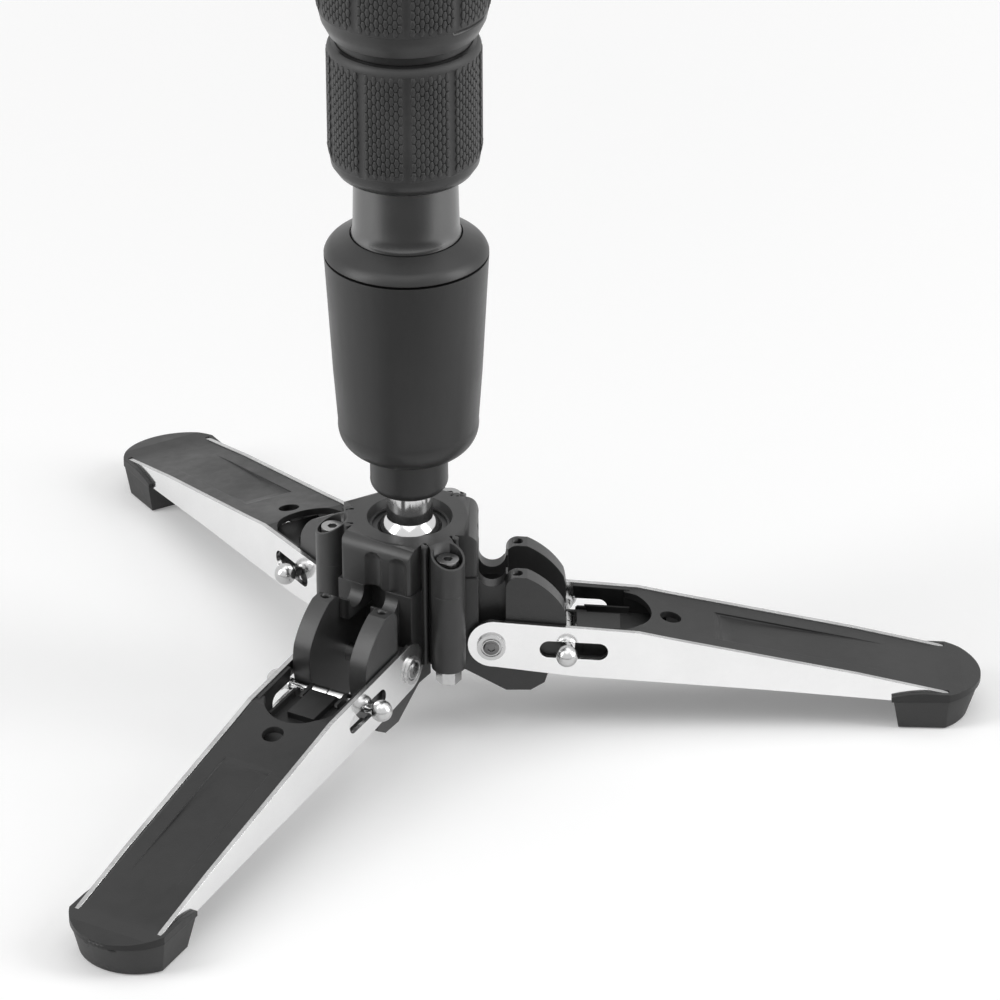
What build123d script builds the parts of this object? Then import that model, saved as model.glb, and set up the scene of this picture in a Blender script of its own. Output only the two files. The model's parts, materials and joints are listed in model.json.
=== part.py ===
from build123d import *
import math
import os

os.makedirs("parts", exist_ok=True)

# A camera monopod, closed up and upright on its three small folding legs.
# Millimetres, +Z up. The origin is where the column's axis meets the floor.
# A leg's own frame has X outward from the column, Y sideways and Z up.

# Fits
seat_gap = 0.02
running_gap = 0.05
ball_gap = 0.1
loose_gap = 0.3
overrun = 5.0

# Stance of the legs
leg_azimuths = {"right": 0, "rear": 120, "front": 240}
bolt_azimuths = [60, 180, 300]
pivot_radius = 25.7
pivot_height = 30.5
fold_angle = 93

# Side plates of a leg
plate_reach = 145.5
plate_gap = 28.0
plate_sheet = 1.5
eye_radius = 8.15
eye_offset = 0.7
# place as a share of the reach, height as a share of the pivot's height
plate_top_shares = [(0.322, 1.151), (0.397, 1.069), (0.803, 0.652), (1, 0.42)]
plate_bottom_shares = [(1, 0.344), (0.87, 0.344), (0.609, 0.466), (0.179, 0.639)]
plate_pivot_radius = 3.0
pivot_head_radius = 4.55
pivot_head_height = 1.0
pivot_recess_radius = 3.35
pivot_recess_depth = 0.7
pivot_button_radius = 2.9
pivot_hex_radius = 1.5

# Cams of the hub
cam_radius = 26.2
cam_side_gap = 0.6
cam_thickness = 6.2
cam_outside = plate_gap / 2 - cam_side_gap
cam_inside = cam_outside - cam_thickness
cam_pad_radius = 6.0
# places about the pivot, as shares of the cam's radius
cam_chin_shares = [(-0.313, -0.37), (0.179, -0.66), (0.477, -0.66), (0.645, -0.553), (0.687, -0.424)]
cam_lip_shares = [(0.88, -0.19), (0.945, -0.135)]
cam_hump_angle = 64
cam_nose_radius = 3.8
cam_nose_share = 0.907
notch_centre_share = 0.847
cam_relief_depth = 4.7
cam_relief_width = 8.6
cam_web_inside = 4.0
cam_web_wall = 0.7
cam_web_lip = 2.6
dimple_radius = 1.7
dimple_depth = 2.0

# Hub
face_inset = 4.0
face_radius = pivot_radius - face_inset
face_half_width = 12.6
face_rounding = 4.5
face_corner = 1.6
hub_above_cams = 12.5
hub_top = pivot_height + cam_radius + hub_above_cams
core_below_pivot = 6.5
core_bottom = pivot_height - core_below_pivot
core_radius = 17.0
shell_disc_radius = 18.3
scallop_round = 4.0
scallop_depth = 1.6
scallop_centres = [-0.5, 8.4]
scallop_top_below = 5.8

# Ball joint
ball_radius = 11.0
ball_below_rim = 7.9
ball_height = hub_top - ball_below_rim
ball_flat_drop = 9.3
split_below_ball = 7.5
split_height = ball_height - split_below_ball
neck_radius = 7.3
lip_gap = 0.9
lip_radius = ball_radius + lip_gap
lip_ledge = 0.6
bowl_foot_radius = lip_radius + lip_ledge
bowl_flare = 1.1
bowl_radius = bowl_foot_radius + bowl_flare
lip_drop = 2.6
lip_thickness = 0.8
liner_wall = 2.0
liner_radius = ball_radius + liner_wall

# Hub bolts
bolt_inset = 1.2
bolt_circle = pivot_radius - bolt_inset
boss_radius = 5.4
boss_below_pivot = 3.8
boss_bottom = pivot_height - boss_below_pivot
web_half_width = 4.2
mouth_back_inset = 4.9
mouth_back = bolt_circle - mouth_back_inset
mouth_front_drop = 5.2
counterbore_radius = 4.7
bolt_seat_drop = 7.0
bolt_head_radius = 3.5
bolt_head_height = 3.5
bolt_socket_radius = 1.6
bolt_socket_depth = 2.0
bolt_radius = 2.0
bolt_clearance = 0.1
nut_flats = 7.0
nut_height = 5.0
bolt_end_length = 1.0
rib_side = 5.6
rib_radius = 1.0

# Column tubes, the thinnest first
thin_tube_radius = 12.0
tube_step = 2.2
tube_count = 4
tube_radii = [thin_tube_radius + tube_step * index for index in range(tube_count)]
tube_wall = 1.3
tube_seat_depth = 30.0
column_length = 591.0
end_gap = 6.0
nest_step = 4.0
bush_height = 10.0

# Pan adaptor, from its foot in the cartridge's cap up to the lowest lock
adaptor_wall = 4.5
adaptor_waist_radius = thin_tube_radius + adaptor_wall
adaptor_foot_flare = 0.7
adaptor_foot_radius = adaptor_waist_radius + adaptor_foot_flare
adaptor_taper = 0.4
adaptor_top_radius = adaptor_waist_radius - adaptor_taper
adaptor_foot_proud = 3.4
adaptor_curve_height = 5.0
adaptor_neck_height = 16.2
adaptor_drum_below_bearing = 2.6
adaptor_curve_shares = (0.3, 0.35)

# Neck collar
collar_above_ball = 18.5
collar_bottom = ball_height + collar_above_ball
collar_radius = 12.3
collar_edge = 2.1
collar_bottom_radius = neck_radius + collar_edge
collar_round_height = 4.2
collar_height = 14.1
neck_in_collar = 4.2
collar_straight = collar_bottom + collar_round_height
neck_top = collar_bottom + neck_in_collar
collar_bulge_shares = (0.943, 0.333)

# Fluid cartridge
cartridge_height = 68.4
cartridge_bottom = collar_bottom + collar_height
cartridge_top = cartridge_bottom + cartridge_height
cap_height = 4.1
cap_bore_gap = 0.3
cap_bore_radius = adaptor_foot_radius + cap_bore_gap
cap_ledge = 5.5
cap_top_radius = cap_bore_radius + cap_ledge
cap_dome = 3.2
cap_rounding = 2.6
cap_seam_gap = 0.9
cartridge_top_radius = cap_top_radius + cap_rounding
cap_bulge_shares = (0.955, 0.5)
# radius as a share of the top radius, height as a share of the cartridge's height; an arc by way of the second
cartridge_shares = [(0.5, 0), (0.758, 0.042), (0.863, 0.158), (0.912, 0.409), (0.953, 0.689), (0.992, 0.945)]
cartridge_floor = 10.4
fluid_wall = 5.1
fluid_bore_radius = cartridge_top_radius - fluid_wall
fluid_gap = 0.15
foot_journal_radius = 6.0
foot_journal_length = 2.4
bearing_width = 6.5
bearing_ledge = 1.0
bearing_outer_radius = fluid_bore_radius + bearing_ledge
bearing_journal_radius = bearing_outer_radius - bearing_width
bearing_thickness = 3.3
bearing_below_top = 5.7
cap_thread_ledge = 1.05
cap_thread_radius = bearing_outer_radius + cap_thread_ledge
seal_width = 1.65
seal_radius = adaptor_foot_radius + seal_width
seal_thickness = 1.3
spindle_radius = 5.0
spindle_cover = 0.8
spindle_top = cartridge_bottom + cartridge_floor - foot_journal_length - spindle_cover

# Heights that follow from the cartridge
floor_top = cartridge_bottom + cartridge_floor
bearing_bottom = cartridge_top - bearing_below_top
bearing_top = bearing_bottom + bearing_thickness
adaptor_foot_top = cartridge_top + cap_height + adaptor_foot_proud
adaptor_waist = adaptor_foot_top + adaptor_curve_height
adaptor_top = adaptor_waist + adaptor_neck_height
tube_foot = adaptor_top - tube_seat_depth
column_top = tube_foot + column_length
tube_tops = [column_top - end_gap - nest_step * below for below in range(tube_count - 2, -1, -1)] + [column_top]

# Twist locks, the lowest first
lock_height = 44.1
# from the outer tube to the lock's side, and from the inner tube to its mouth
lock_walls = [9.4, 10.3, 11.0]
mouth_walls = [4.3, 9.1, 9.9]
lock_cone_heights = [8.0, 11.2, 11.2]
# radius as a share of the step from mouth to body, height as a share of the cone's height
bowl_shares = [(0, 0), (0.66, 0.09), (0.9, 0.42), (0.955, 0.76), (0.985, 1)]
cone_shares = [(0, 0), (0.58, 0.35), (0.82, 0.68), (0.97, 1)]
lock_foot_shares = [bowl_shares, cone_shares, cone_shares]
lock_rim_height = 0.5
lock_rim_edge = 1.0
grip_rubber = 1.3
grip_edge = 0.6
grip_shoulder = 2.4
grip_bulge_shares = (0.62, 0.7)
flute_count = 10
flute_azimuth = 21
flute_radius = 3.0
flute_depth = 0.45
core_wall = 3.8
collet_wall = 2.6
collet_height = 6.6
collet_tip_wall = 1.0
collet_inset = 2.4
flange_height = 3.1
flange_inset = 2.6
lock_bottom = adaptor_top + loose_gap
lock_pitch = lock_height + ball_gap + flange_height + loose_gap
lock_radii = [outer + wall for outer, wall in zip(tube_radii[1:], lock_walls)]
mouth_radii = [inner + wall for inner, wall in zip(tube_radii, mouth_walls)]

# Upper end
grip_length = 138.0
grip_below_socket = 3.0
grip_wall = 4.0
grip_round = 2.5
socket_depth = 15.0
socket_wall = 2.3
grip_top = column_top - socket_depth - grip_below_socket
grip_bottom = grip_top - grip_length
platform_radius = 24.0
platform_flare_height = 5.0
platform_height = 8.0
platform_edge = 1.0
platform_bottom = column_top + platform_flare_height
platform_top = platform_bottom + platform_height
pad_thickness = 1.2
pad_inset = 0.8
pad_radius = platform_radius - pad_inset
stud_radius = 4.76
stud_length = 9.3
stud_root_radius = 6.0
stud_head_radius = 8.0
stud_head_height = 4.0

# Lock pins and their track, which runs out from the pivot
track_angle = -3.65
pin_inset = 2.2
pin_rest = cam_radius - pin_inset
pin_travel = 10.5
pin_core_radius = 1.2
pin_clearance = 0.25
pin_shank_radius = 2.0
slot_height = 6.0
slot_inner_room = 5.65
slot_outer_room = 0.6
slot_inner = pin_rest - slot_inner_room
slot_outer = pin_rest + pin_travel + pin_shank_radius + slot_outer_room - slot_height / 2
pin_sleeve_radius = 2.1
arm_thickness = 1.15
arm_outside = cam_inside - loose_gap
arm_radius = 2.2
pin_sleeve_half = arm_outside - arm_thickness - pin_clearance
pin_groove_half = 0.25
knob_radius = 3.5

# Pin carriage, along its track and across it
carriage_from_pin = 5.5
carriage_length = 14.5
carriage_start = pin_rest + carriage_from_pin
carriage_end = carriage_start + carriage_length
carriage_side_room = 4.2
carriage_half_width = plate_gap / 2 - carriage_side_room
carriage_rail = 0.8
carriage_top = 2.7
carriage_floor = 0.4
carriage_bottom = -3.2
carriage_skirt_bottom = -6.2
tray_length = 26.5
tray_end = carriage_start + tray_length
carriage_pad_half = 4.8
carriage_pad_from_pin = 3.0
carriage_pad_length = 14.0
carriage_pad_start = pin_rest + carriage_pad_from_pin
carriage_pad_end = carriage_pad_start + carriage_pad_length

# Return spring
spring_radius = 2.4
spring_wall = 0.7
spring_length = 14.0
spring_drop = 2.4

# Spine of a leg
spine_start = 42.3
spine_scoop_depth = 8.7
spine_proud = 0.6
spine_cover = 2.2
spine_flange = 2.0
spine_arm_wall = 1.15
spine_arm_gap = 0.4
spine_arm_reach = cam_radius + spine_arm_gap
spine_lift = 1.0
spine_end_wall = 20.0
spine_rib = 2.0
spine_rib_depth = 9.0
spine_hole_from_start = 14.8
spine_hole_radius = 3.4
groove_from_start = 28.7
groove_scoop = 6.0
groove_before_end = 19.5
groove_depth = 1.3
groove_half_width = 8.4
groove_scoop_share = 0.7

# Feet
seam_height = plate_bottom_shares[0][1] * pivot_height - ball_gap
ear_rim_rise = 3.1
ear_tip_rise = 1.7
foot_tip_rise = 0.8
ear_rim_height = seam_height + ear_rim_rise
ear_tip_height = seam_height + ear_tip_rise
foot_tip_height = seam_height + foot_tip_rise
ear_top_before_end = 7.5
ear_swell_share = 0.75
# inner end, its side, corner, its side, and tip, from the plates' end and outer faces
foot_lip_plan = (-18.2, 1.3, 0.3, 1.5, 11.1)
foot_top_plan = (-17.5, 1.1, 0.0, 1.3, 10.7)
foot_sole_plan = (-15.7, -1.0, -0.9, -0.3, 7.3)


# Helpers
def face_of(path):
    """A closed face through the corners; a step of four values is an arc by way of its first two."""
    edges, here = [], path[0]
    for step in path[1:] + path[:1]:
        there = step[-2:]
        if there != here:
            edges.append(ThreePointArc(here, step[:2], there) if len(step) > 2 else Line(here, there))
        here = there
    return make_face(edges)


def spun(path):
    """A body of revolution from a path of radii and heights."""
    return revolve(Plane.XZ * face_of(path), Axis.Z)


def ring(outer, inner, bottom, top):
    return spun([(inner, bottom), (outer, bottom), (outer, top), (inner, top)])


def disc(radius, bottom, top):
    return ring(radius, 0, bottom, top)


def slab(path, near, far):
    """A side profile of places and heights, thick from one side place to another."""
    return extrude(Pos(0, near, 0) * (Plane.XZ * face_of(path)), amount=far - near, dir=(0, 1, 0))


def block(x0, x1, y0, y1, z0, z1):
    return slab([(x0, z0), (x1, z0), (x1, z1), (x0, z1)], y0, y1)


def both_sides(shape):
    return shape + mirror(shape, about=Plane.XZ)


def about_column(shape, azimuth):
    return shape.rotate(Axis.Z, azimuth)


def crosswise(path):
    """A body of revolution about the pivot's sideways line, from radii and side places."""
    turned = revolve(Plane.XZ * face_of(path), Axis.Z)
    return turned.rotate(Axis.X, -90)


def on_track(shape):
    """Sets a shape made about the pivot, with X along the track, into its leg."""
    return Pos(pivot_radius, 0, pivot_height) * shape.rotate(Axis.Y, -track_angle)


def at_pivot(shape):
    return Pos(pivot_radius, 0, pivot_height) * shape


def single(shape):
    """One plain solid out of a one-piece shape."""
    return shape.solids()[0]


parts = {}


# Hub
def slanted_boss(bottom, top):
    """A bolt boss with its web, cut to the slanted mouth, at azimuth zero."""
    body = Pos(bolt_circle, 0, 0) * disc(boss_radius, bottom, top)
    body += block(0, bolt_circle, -web_half_width, web_half_width, bottom, top)
    front = bolt_circle + boss_radius
    limit = [(0, bottom), (front, bottom), (front, hub_top - mouth_front_drop), (mouth_back, hub_top), (0, hub_top)]
    return body & slab(limit, -boss_radius, boss_radius)


def ribs(bottom, top):
    """An upright rib in the channel on each side of a boss, on a thin web from the core."""
    web = block(core_radius / 2, mouth_back, rib_side - rib_radius / 2, rib_side + rib_radius / 2, bottom, top)
    return both_sides(Pos(mouth_back, rib_side, 0) * disc(rib_radius, bottom, top) + web)


def face_block():
    shoulder = face_radius - face_rounding
    bend = face_rounding * math.sin(math.pi / 4)
    path = [
        (0, split_height),
        (face_radius, split_height),
        (face_radius, hub_top - face_rounding),
        (shoulder + bend, hub_top - face_rounding + bend, shoulder, hub_top),
        (0, hub_top),
    ]
    body = slab(path, -face_half_width, face_half_width)
    inner, half = face_radius - face_corner, face_half_width - face_corner
    turn = face_corner * math.sin(math.pi / 4)
    plan = [
        (0, -face_half_width), (inner, -face_half_width), (inner + turn, -half - turn, face_radius, -half),
        (face_radius, half), (inner + turn, half + turn, inner, face_half_width), (0, face_half_width),
    ]
    body &= Pos(0, 0, split_height) * extrude(face_of(plan), hub_top - split_height)
    return body - [scallop(side) for side in scallop_centres]


def scallop(side):
    """A hollow of round section in the face over a leg, with a round top."""
    arch = hub_top - scallop_top_below
    axis = face_radius - scallop_depth + scallop_round
    upright = disc(scallop_round, split_height - overrun, arch)
    return Pos(axis, side, 0) * (upright + Pos(0, 0, arch) * Sphere(scallop_round))


def upper_shell():
    shell = disc(shell_disc_radius, split_height, hub_top)
    for azimuth in leg_azimuths.values():
        shell += about_column(face_block(), azimuth)
    for azimuth in bolt_azimuths:
        shell += about_column(slanted_boss(split_height, hub_top) + ribs(split_height, hub_top), azimuth)
    lip_top = hub_top - lip_drop
    pocket = liner_radius + running_gap
    shell -= spun([
        (0, split_height), (pocket, split_height), (pocket, lip_top - lip_thickness),
        (lip_radius, lip_top - lip_thickness), (lip_radius, lip_top), (bowl_foot_radius, lip_top),
        (bowl_radius, hub_top), (bowl_radius, hub_top + overrun), (0, hub_top + overrun),
    ])
    seat = hub_top - bolt_seat_drop
    for azimuth in bolt_azimuths:
        bore = disc(bolt_radius + bolt_clearance, split_height, seat) + disc(counterbore_radius, seat, hub_top + overrun)
        shell -= about_column(Pos(bolt_circle, 0, 0) * bore, azimuth)
    return shell


def spiral_radius(angle):
    """How far the cam may reach at an angle and still let the pin pass as its leg folds."""
    passed_share = (angle - track_angle) / fold_angle
    return pin_rest + pin_travel * passed_share - pin_core_radius - pin_clearance


def polar(radius, angle):
    return radius * math.cos(math.radians(angle)), radius * math.sin(math.radians(angle))


def cam():
    """One cam plate, about the pivot: chin, pin seat, round edge, hump, notch and root."""
    share = lambda pair: (pair[0] * cam_radius, pair[1] * cam_radius)
    root = core_radius - cam_outside / 2 - pivot_radius
    face = face_radius - pivot_radius
    seat = pin_core_radius + pin_clearance
    pin = polar(pin_rest, track_angle)
    under = (pin[0], pin[1] - seat)
    inner = polar(spiral_radius(track_angle), track_angle)
    lower = (pin[0] - seat * math.sin(math.pi / 4), pin[1] - seat * math.cos(math.pi / 4))
    passed_share = (cam_radius + seat - pin_rest) / pin_travel
    full = track_angle + fold_angle * passed_share
    midway = (full + track_angle) / 2
    crest = (full + cam_hump_angle) / 2
    chin = [share(pair) for pair in cam_chin_shares]
    lip = [share(pair) for pair in cam_lip_shares]
    top = split_height - pivot_height
    edge = face + cam_relief_width
    nose, notch = cam_radius * cam_nose_share, cam_radius * notch_centre_share
    bend = cam_nose_radius * (1 - math.sin(math.pi / 4))
    nose_path = [(edge + cam_nose_radius, nose), (edge + bend, nose - bend, edge, nose - cam_nose_radius)]
    drop = math.sqrt((cam_relief_width / 2) ** 2 - (notch - nose + cam_nose_radius) ** 2)
    notch_arc = ((face + edge) / 2, notch - cam_relief_width / 2, face, notch)
    hub_side = [(face, top), (root, top)]
    path = [(root, chin[0][1]), *chin, *lip, under, (*lower, *inner)]
    path += [(*polar(spiral_radius(midway), midway), *polar(cam_radius, full))]
    path += [(*polar(cam_radius, crest), *polar(cam_radius, cam_hump_angle))]
    path += [*nose_path, ((face + edge) / 2 + drop, nose - cam_nose_radius), notch_arc, *hub_side]
    plate = slab(path, cam_inside, cam_outside)
    web_end, web_low = edge + cam_web_wall, notch - cam_relief_width / 2 - cam_web_lip
    web = [(root, web_low), (web_end, web_low), (web_end, notch), (edge, notch), notch_arc, *hub_side]
    plate += slab(web, cam_web_inside, (cam_inside + cam_outside) / 2 - cam_relief_depth / 2)
    relief = block(
        face, edge, cam_outside - cam_relief_depth, cam_outside + overrun,
        eye_radius + eye_offset - overrun, hub_top,
    )
    pad = crosswise([
        (0, cam_inside), (cam_pad_radius, cam_inside),
        (cam_pad_radius, plate_gap / 2 - running_gap), (0, plate_gap / 2 - running_gap),
    ])
    width_middle = (cam_inside + cam_outside) / 2
    dimple = Pos(edge + cam_nose_radius, width_middle, nose - dimple_depth) * disc(dimple_radius, 0, overrun)
    bore = crosswise([
        (0, cam_inside - overrun), (plate_pivot_radius + seat_gap, cam_inside - overrun),
        (plate_pivot_radius + seat_gap, cam_outside + overrun), (0, cam_outside + overrun),
    ])
    return plate - relief + pad - dimple - bore


def lower_body():
    body = disc(core_radius, core_bottom, split_height - seat_gap)
    for azimuth in bolt_azimuths:
        body += about_column(slanted_boss(boss_bottom, split_height - seat_gap), azimuth)
        body += about_column(ribs(boss_bottom, split_height - seat_gap), azimuth)
    cams = both_sides(cam())
    for azimuth in leg_azimuths.values():
        body += about_column(at_pivot(cams), azimuth)
    for azimuth in bolt_azimuths:
        bore = disc(bolt_radius + bolt_clearance, boss_bottom - overrun, split_height + overrun)
        body -= about_column(Pos(bolt_circle, 0, 0) * bore, azimuth)
    cup = Pos(0, 0, ball_height) * Sphere(ball_radius + ball_gap)
    trim = disc(face_radius + overrun, split_height - seat_gap, hub_top + overrun)
    return body - cup - trim


def hub_bolt():
    seat = hub_top - bolt_seat_drop
    head_top = seat + bolt_head_height
    shank = disc(bolt_radius, boss_bottom - nut_height - bolt_end_length, seat + seat_gap)
    head = disc(bolt_head_radius, seat + seat_gap, head_top)
    socket = Pos(0, 0, head_top - bolt_socket_depth) * extrude(
        RegularPolygon(bolt_socket_radius, 6), bolt_socket_depth + overrun
    )
    return Pos(bolt_circle, 0, 0) * (shank + head - socket)


def hub_nut():
    bottom = boss_bottom - nut_height
    nut = Pos(0, 0, bottom) * extrude(RegularPolygon(nut_flats / 2, 6, major_radius=False), nut_height - seat_gap)
    return Pos(bolt_circle, 0, 0) * (nut - disc(bolt_radius + seat_gap, bottom, boss_bottom))


def pivot_pin():
    """A barrel through both cams, with a flange and a sunk button at each end."""
    face = plate_gap / 2 + plate_sheet + running_gap
    end = face + pivot_head_height
    floor = end - pivot_recess_depth
    half = [
        (0, 0), (plate_pivot_radius, 0), (plate_pivot_radius, face), (pivot_head_radius, face),
        (pivot_head_radius, end), (pivot_recess_radius, end), (pivot_recess_radius, floor),
        (pivot_button_radius, floor), (pivot_button_radius, end), (0, end),
    ]
    barrel = both_sides(crosswise(half))
    hexagon = extrude(Plane.XZ * RegularPolygon(pivot_hex_radius, 6), pivot_recess_depth, both=True)
    barrel -= both_sides(Pos(0, end, 0) * hexagon)
    return at_pivot(barrel)


parts["hub_upper_shell"] = upper_shell()
parts["hub_lower_body"] = lower_body()
parts["hub_bolts"] = Compound([single(about_column(hub_bolt(), azimuth)) for azimuth in bolt_azimuths])
parts["hub_nuts"] = Compound([single(about_column(hub_nut(), azimuth)) for azimuth in bolt_azimuths])
parts["leg_pivot_pins"] = Compound([single(about_column(pivot_pin(), a)) for a in leg_azimuths.values()])


# Legs
def plate_points(shares, drop=0):
    return [(pivot_radius + place * plate_reach, height * pivot_height - drop) for place, height in shares]


def side_plate(near, far):
    """A side plate: round eye, slot for the pin, and a long taper to the foot."""
    eye = (pivot_radius + eye_offset, pivot_height + eye_offset)
    top, bottom = (eye[0], eye[1] + eye_radius), (eye[0], eye[1] - eye_radius)
    back = (eye[0] - eye_radius, eye[1])
    path = [top, *plate_points(plate_top_shares), *plate_points(plate_bottom_shares), bottom, (*back, *top)]
    hole = crosswise([
        (0, near - overrun), (plate_pivot_radius + running_gap, near - overrun),
        (plate_pivot_radius + running_gap, far + overrun), (0, far + overrun),
    ])
    return slab(path, near, far) - at_pivot(hole) - on_track(pin_slot(near - overrun, far + overrun))


def pin_slot(near, far):
    """The long slot that the lock pin runs in, about the pivot."""
    half = slot_height / 2
    return slab([
        (slot_inner, -half), (slot_outer, -half), (slot_outer + half, 0, slot_outer, half),
        (slot_inner, half), (slot_inner - half, 0, slot_inner, -half),
    ], near, far)


def line_height(points, place):
    """The height of a run of straight lines at a place."""
    for (x0, z0), (x1, z1) in zip(points, points[1:]):
        if x0 <= place <= x1:
            return z0 + (z1 - z0) * (place - x0) / (x1 - x0)
    return points[-1][1] if place > points[-1][0] else points[0][1]


def spine_top_line():
    """The cover's top: a little below the plates' top edges."""
    line = plate_points(plate_top_shares, spine_proud)
    start = pivot_radius + spine_start
    return [(start, line_height(line, start))] + [p for p in line if p[0] > start]


def spine_arms():
    """Thin arms inside the plates, from the cover in to the edge of the cams."""
    half = plate_gap / 2 - running_gap
    eye, middle = pivot_radius + eye_offset, pivot_height + eye_offset
    top = [(eye, middle + eye_radius - spine_proud), *plate_points(plate_top_shares, spine_proud)]
    base = [(eye, middle - eye_radius + spine_lift), *plate_points(plate_bottom_shares, -spine_lift)[::-1]]
    end = pivot_radius + spine_start + spine_flange
    path = [p for p in top if p[0] < end] + [(end, line_height(top, end)), (end, line_height(base, end))]
    path += [p for p in base if p[0] < end][::-1]
    arm = slab(path, half - spine_arm_wall, half)
    room = crosswise([(0, 0), (spine_arm_reach, 0), (spine_arm_reach, plate_gap), (0, plate_gap)])
    return both_sides(arm - at_pivot(room) - on_track(pin_slot(0, plate_gap)))


def plan_face(plan, height):
    """A foot's outline seen from above: straight inner end and sides, round tip."""
    inner, corner, tip = (plate_reach + place for place in plan[::2])
    inner_half, corner_half = (plate_gap / 2 + plate_sheet + side for side in plan[1::2])
    points = [(inner, -inner_half), (corner, -corner_half)]
    edges = [Line(*points), ThreePointArc(points[1], (tip, 0), (corner, corner_half)),
             Line((corner, corner_half), (inner, inner_half)), Line((inner, inner_half), points[0])]
    return Pos(pivot_radius, 0, height) * make_face(edges)


def foot_lip():
    """The plastic top of the foot, with an ear outside each plate."""
    inner, tip = plate_reach + foot_lip_plan[0], plate_reach + foot_lip_plan[-1]
    whole = extrude(plan_face(foot_lip_plan, seam_height), ear_rim_height - seam_height)
    start, stop = pivot_radius + inner - overrun, pivot_radius + tip + overrun
    inner, end = pivot_radius + inner, pivot_radius + plate_reach
    rim = end - ear_top_before_end
    swell = ear_tip_height + (ear_rim_height - ear_tip_height) * ear_swell_share
    side = [
        (start, seam_height), (stop, seam_height), (stop, foot_tip_height),
        (end + overrun, ear_rim_height - spine_proud), (rim, ear_rim_height), ((inner + rim) / 2, swell, inner, ear_tip_height), (start, ear_tip_height),
    ]
    return whole & slab(side, -plate_gap, plate_gap)


def spine():
    """The black channel between the plates: cover, flanges, end wall and foot top."""
    half = plate_gap / 2 - running_gap
    top = spine_top_line()
    base = plate_points(plate_bottom_shares)
    base = [(x, z + spine_lift) for x, z in base[::-1]]
    start, end = top[0][0], top[-1][0]
    foot_inner = pivot_radius + plate_reach + foot_lip_plan[0]
    lower = [(x, z) for x, z in base if start < x < foot_inner]
    path = top + [(end, seam_height), (foot_inner, seam_height)] + lower[::-1] + [(start, line_height(base, start))]
    body = slab(path, -half, half)
    hollow_end = foot_inner - spine_end_wall
    roof = [(x, z - spine_cover) for x, z in top if x < hollow_end]
    roof = [(start - overrun, roof[0][1])] + roof
    roof += [(hollow_end, line_height(top, hollow_end) - spine_cover), (hollow_end, 0), (start - overrun, 0)]
    body -= slab(roof, -half + spine_flange, half - spine_flange)
    rib_start = pivot_radius + tray_end + loose_gap + spring_length
    roof_height = line_height(top, rib_start) - spine_cover
    body += block(rib_start, rib_start + spine_rib, -half + seat_gap, half - seat_gap,
                  roof_height - spine_rib_depth, roof_height + spine_cover / 2)
    inner_half = half - spine_flange
    scoop = (inner_half ** 2 + spine_scoop_depth ** 2) / (2 * spine_scoop_depth)
    body -= Pos(start + spine_scoop_depth - scoop, 0, 0) * disc(scoop, 0, hub_top)
    body += spine_arms() + foot_lip()
    sheet = both_sides(block(foot_inner - overrun, pivot_radius + plate_reach + running_gap, half,
                             half + plate_sheet + 2 * running_gap, seam_height, hub_top))
    body -= sheet
    hole = Pos(start + spine_hole_from_start, 0, 0) * disc(spine_hole_radius, pivot_height - overrun, hub_top)
    return body - hole - finger_groove(top)


def finger_groove(top):
    """A shallow trough with a scooped inner end that fades out towards the foot."""
    first, last = top[0][0] + groove_from_start, pivot_radius + plate_reach - groove_before_end
    scoop = first + groove_scoop
    surface = lambda place, drop: (place, line_height(top, place) - drop)
    middle = (first + scoop) / 2
    bend = next(x for x, z in top if x > scoop)
    path = [surface(first, 0), (*surface(middle, groove_depth * groove_scoop_share), *surface(scoop, groove_depth))]
    fade = groove_depth * (last - bend) / (last - scoop)
    path += [surface(bend, fade)] if bend < last else []
    path += [surface(last, 0), (last, hub_top), (first, hub_top)]
    trough = slab(path, -groove_half_width, groove_half_width)
    run = bend - first
    drop = line_height(top, first) - line_height(top, bend)
    hollow = (groove_half_width ** 2 + groove_depth ** 2) / (2 * groove_depth)
    along = Rot(0, 90 + math.degrees(math.atan2(drop, run)), 0) * Cylinder(hollow, 3 * run)
    return trough & Pos(first, 0, line_height(top, first) - groove_depth + hollow) * along


def foot_pad():
    """The rubber foot, wider at its seam than at its sole."""
    return loft([plan_face(foot_sole_plan, 0), plan_face(foot_top_plan, seam_height - seat_gap)], ruled=True)


def lock_pin():
    """The cross pin with its middle sleeve and a round knob outside each plate."""
    plate_face = plate_gap / 2
    shank_start = plate_face - loose_gap
    knob_centre = plate_face + plate_sheet + running_gap + knob_radius
    neck = knob_centre - math.sqrt(knob_radius ** 2 - pin_shank_radius ** 2)
    half = [
        (0, 0), (pin_core_radius, 0), (pin_core_radius, pin_groove_half), (pin_sleeve_radius, pin_groove_half),
        (pin_sleeve_radius, pin_sleeve_half), (pin_core_radius, pin_sleeve_half), (pin_core_radius, shank_start),
        (pin_shank_radius, shank_start), (pin_shank_radius, neck),
        (knob_radius, knob_centre, 0, knob_centre + knob_radius),
    ]
    return on_track(Pos(pin_rest, 0, 0) * both_sides(crosswise(half)))


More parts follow.
